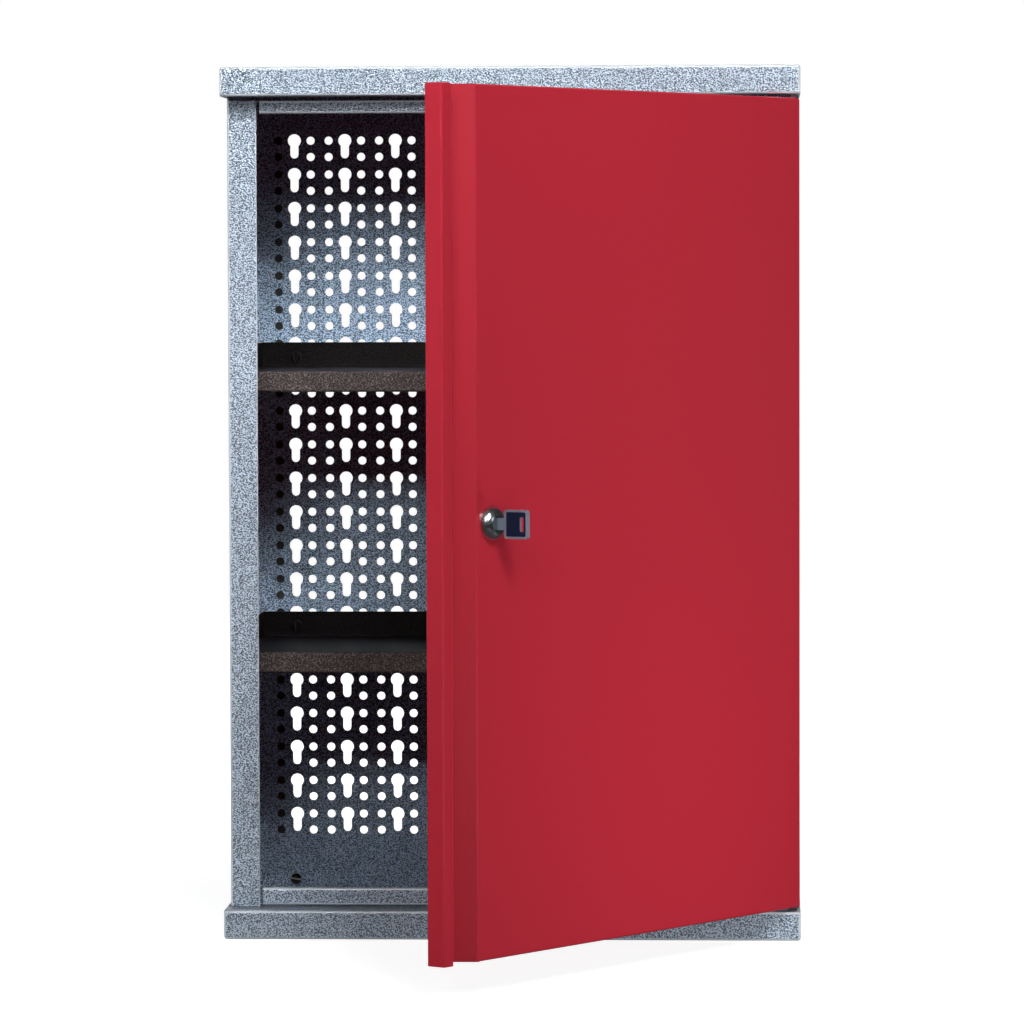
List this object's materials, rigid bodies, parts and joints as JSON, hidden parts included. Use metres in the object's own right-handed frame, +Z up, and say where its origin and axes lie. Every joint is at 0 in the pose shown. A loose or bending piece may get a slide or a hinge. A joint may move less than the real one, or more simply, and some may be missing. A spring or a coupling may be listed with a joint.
{
  "type": "wall tool cabinet",
  "caption": "Wall tool cabinet of folded sheet steel with one hinged door, a cam lock with its key, inner tray shelves and a keyhole-perforated back panel.",
  "frame": {"origin": "centre of the underside of the bottom cap", "axes": "+X to the right, towards the hinges; +Y towards the wall behind the cabinet; +Z up"},
  "size_m": [0.4, 0.5165, 0.604],
  "materials": {
    "hammer_paint": "blue-grey hammer paint, semi-gloss, fine dimpled texture",
    "red_paint": "smooth gloss red enamel",
    "dark_paint": "dark brown-black textured paint",
    "zinc_steel": "bright zinc-plated steel",
    "chrome_plate": "polished chrome plate",
    "nickel_plate": "nickel plate",
    "black_rubber": "matt black rubber"
  },
  "bodies": {
    "cabinet": {"bottom_cap": "hammer_paint", "top_cap": "hammer_paint", "left_side": "hammer_paint", "right_side": "hammer_paint", "bottom_rail": "hammer_paint", "top_rail": "hammer_paint", "back_panel": "hammer_paint", "upper_shelf": "dark_paint", "lower_shelf": "dark_paint", "bottom_pivot_stiffener": "hammer_paint", "top_pivot_stiffener": "hammer_paint", "bottom_hinge_pin": "zinc_steel", "top_hinge_pin": "zinc_steel", "bottom_cap_rivets": "zinc_steel", "top_cap_rivets": "zinc_steel", "shelf_screws": "zinc_steel", "shelf_nuts": "zinc_steel", "panel_screws": "zinc_steel", "panel_nuts": "zinc_steel"},
    "door": {"door_panel": "red_paint", "bottom_pivot_plate": "red_paint", "top_pivot_plate": "red_paint", "door_buffers": "black_rubber", "lock_housing": "chrome_plate", "lock_washer": "zinc_steel", "lock_nut": "zinc_steel"},
    "lock_core": {"lock_plug": "nickel_plate", "lock_cam": "zinc_steel", "cam_screw": "zinc_steel", "cam_washer": "zinc_steel"},
    "key": {"key": "nickel_plate"}
  },
  "joints": [
    {"name": "door_hinge", "type": "hinge", "parent": "cabinet", "child": "door", "pos_m": [0.1947, -0.0927, 0.302], "axis": [0, 0, 1], "range_deg": [-55, 125]},
    {"name": "lock_turn", "type": "hinge", "parent": "door", "child": "lock_core", "pos_m": [0.00044, -0.37675, 0.302], "axis": [-0.8192, 0.5736, 0], "range_deg": [0, 90]},
    {"name": "key_slide", "type": "slide", "parent": "lock_core", "child": "key", "axis": [0.8192, -0.5736, 0], "range_m": [0, 0.034]}
  ]
}
